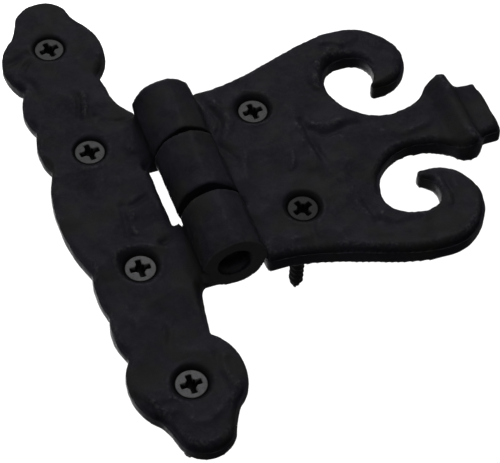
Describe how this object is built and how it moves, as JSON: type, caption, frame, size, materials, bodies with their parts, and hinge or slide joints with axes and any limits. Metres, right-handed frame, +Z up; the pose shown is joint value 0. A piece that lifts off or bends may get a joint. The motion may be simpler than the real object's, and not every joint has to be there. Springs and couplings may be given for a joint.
{
  "type": "door hinge",
  "caption": "Surface-mounted strap hinge in blackened iron: tall scalloped frame leaf, scrolled strap leaf, three-knuckle barrel with a pin, countersunk cross-recess wood screws.",
  "frame": {"origin": "middle of the frame leaf, on its back face, in line with its row of screws", "axes": "+Z up along the pin; -Y out of the leaves' front faces; the strap leaf reaches towards -X"},
  "size_m": [0.1199, 0.0486, 0.1508],
  "materials": {
    "black_iron": "blackened, hammered, satin",
    "pin_steel": "blackened steel, plain",
    "screw_steel": "grey steel, satin"
  },
  "bodies": {
    "frame_side": {"frame_leaf": "black_iron", "hinge_pin": "pin_steel", "frame_screw_upper": "screw_steel", "frame_screw_upper_middle": "screw_steel", "frame_screw_lower_middle": "screw_steel", "frame_screw_lower": "screw_steel"},
    "door_side": {"strap_leaf": "black_iron", "strap_screw_upper": "screw_steel", "strap_screw_lower": "screw_steel"}
  },
  "joints": [
    {"name": "strap_swing", "type": "hinge", "parent": "frame_side", "child": "door_side", "pos_m": [-0.0217, -0.0084, 0], "axis": [0, 0, 1], "range_deg": [0, 180]}
  ]
}
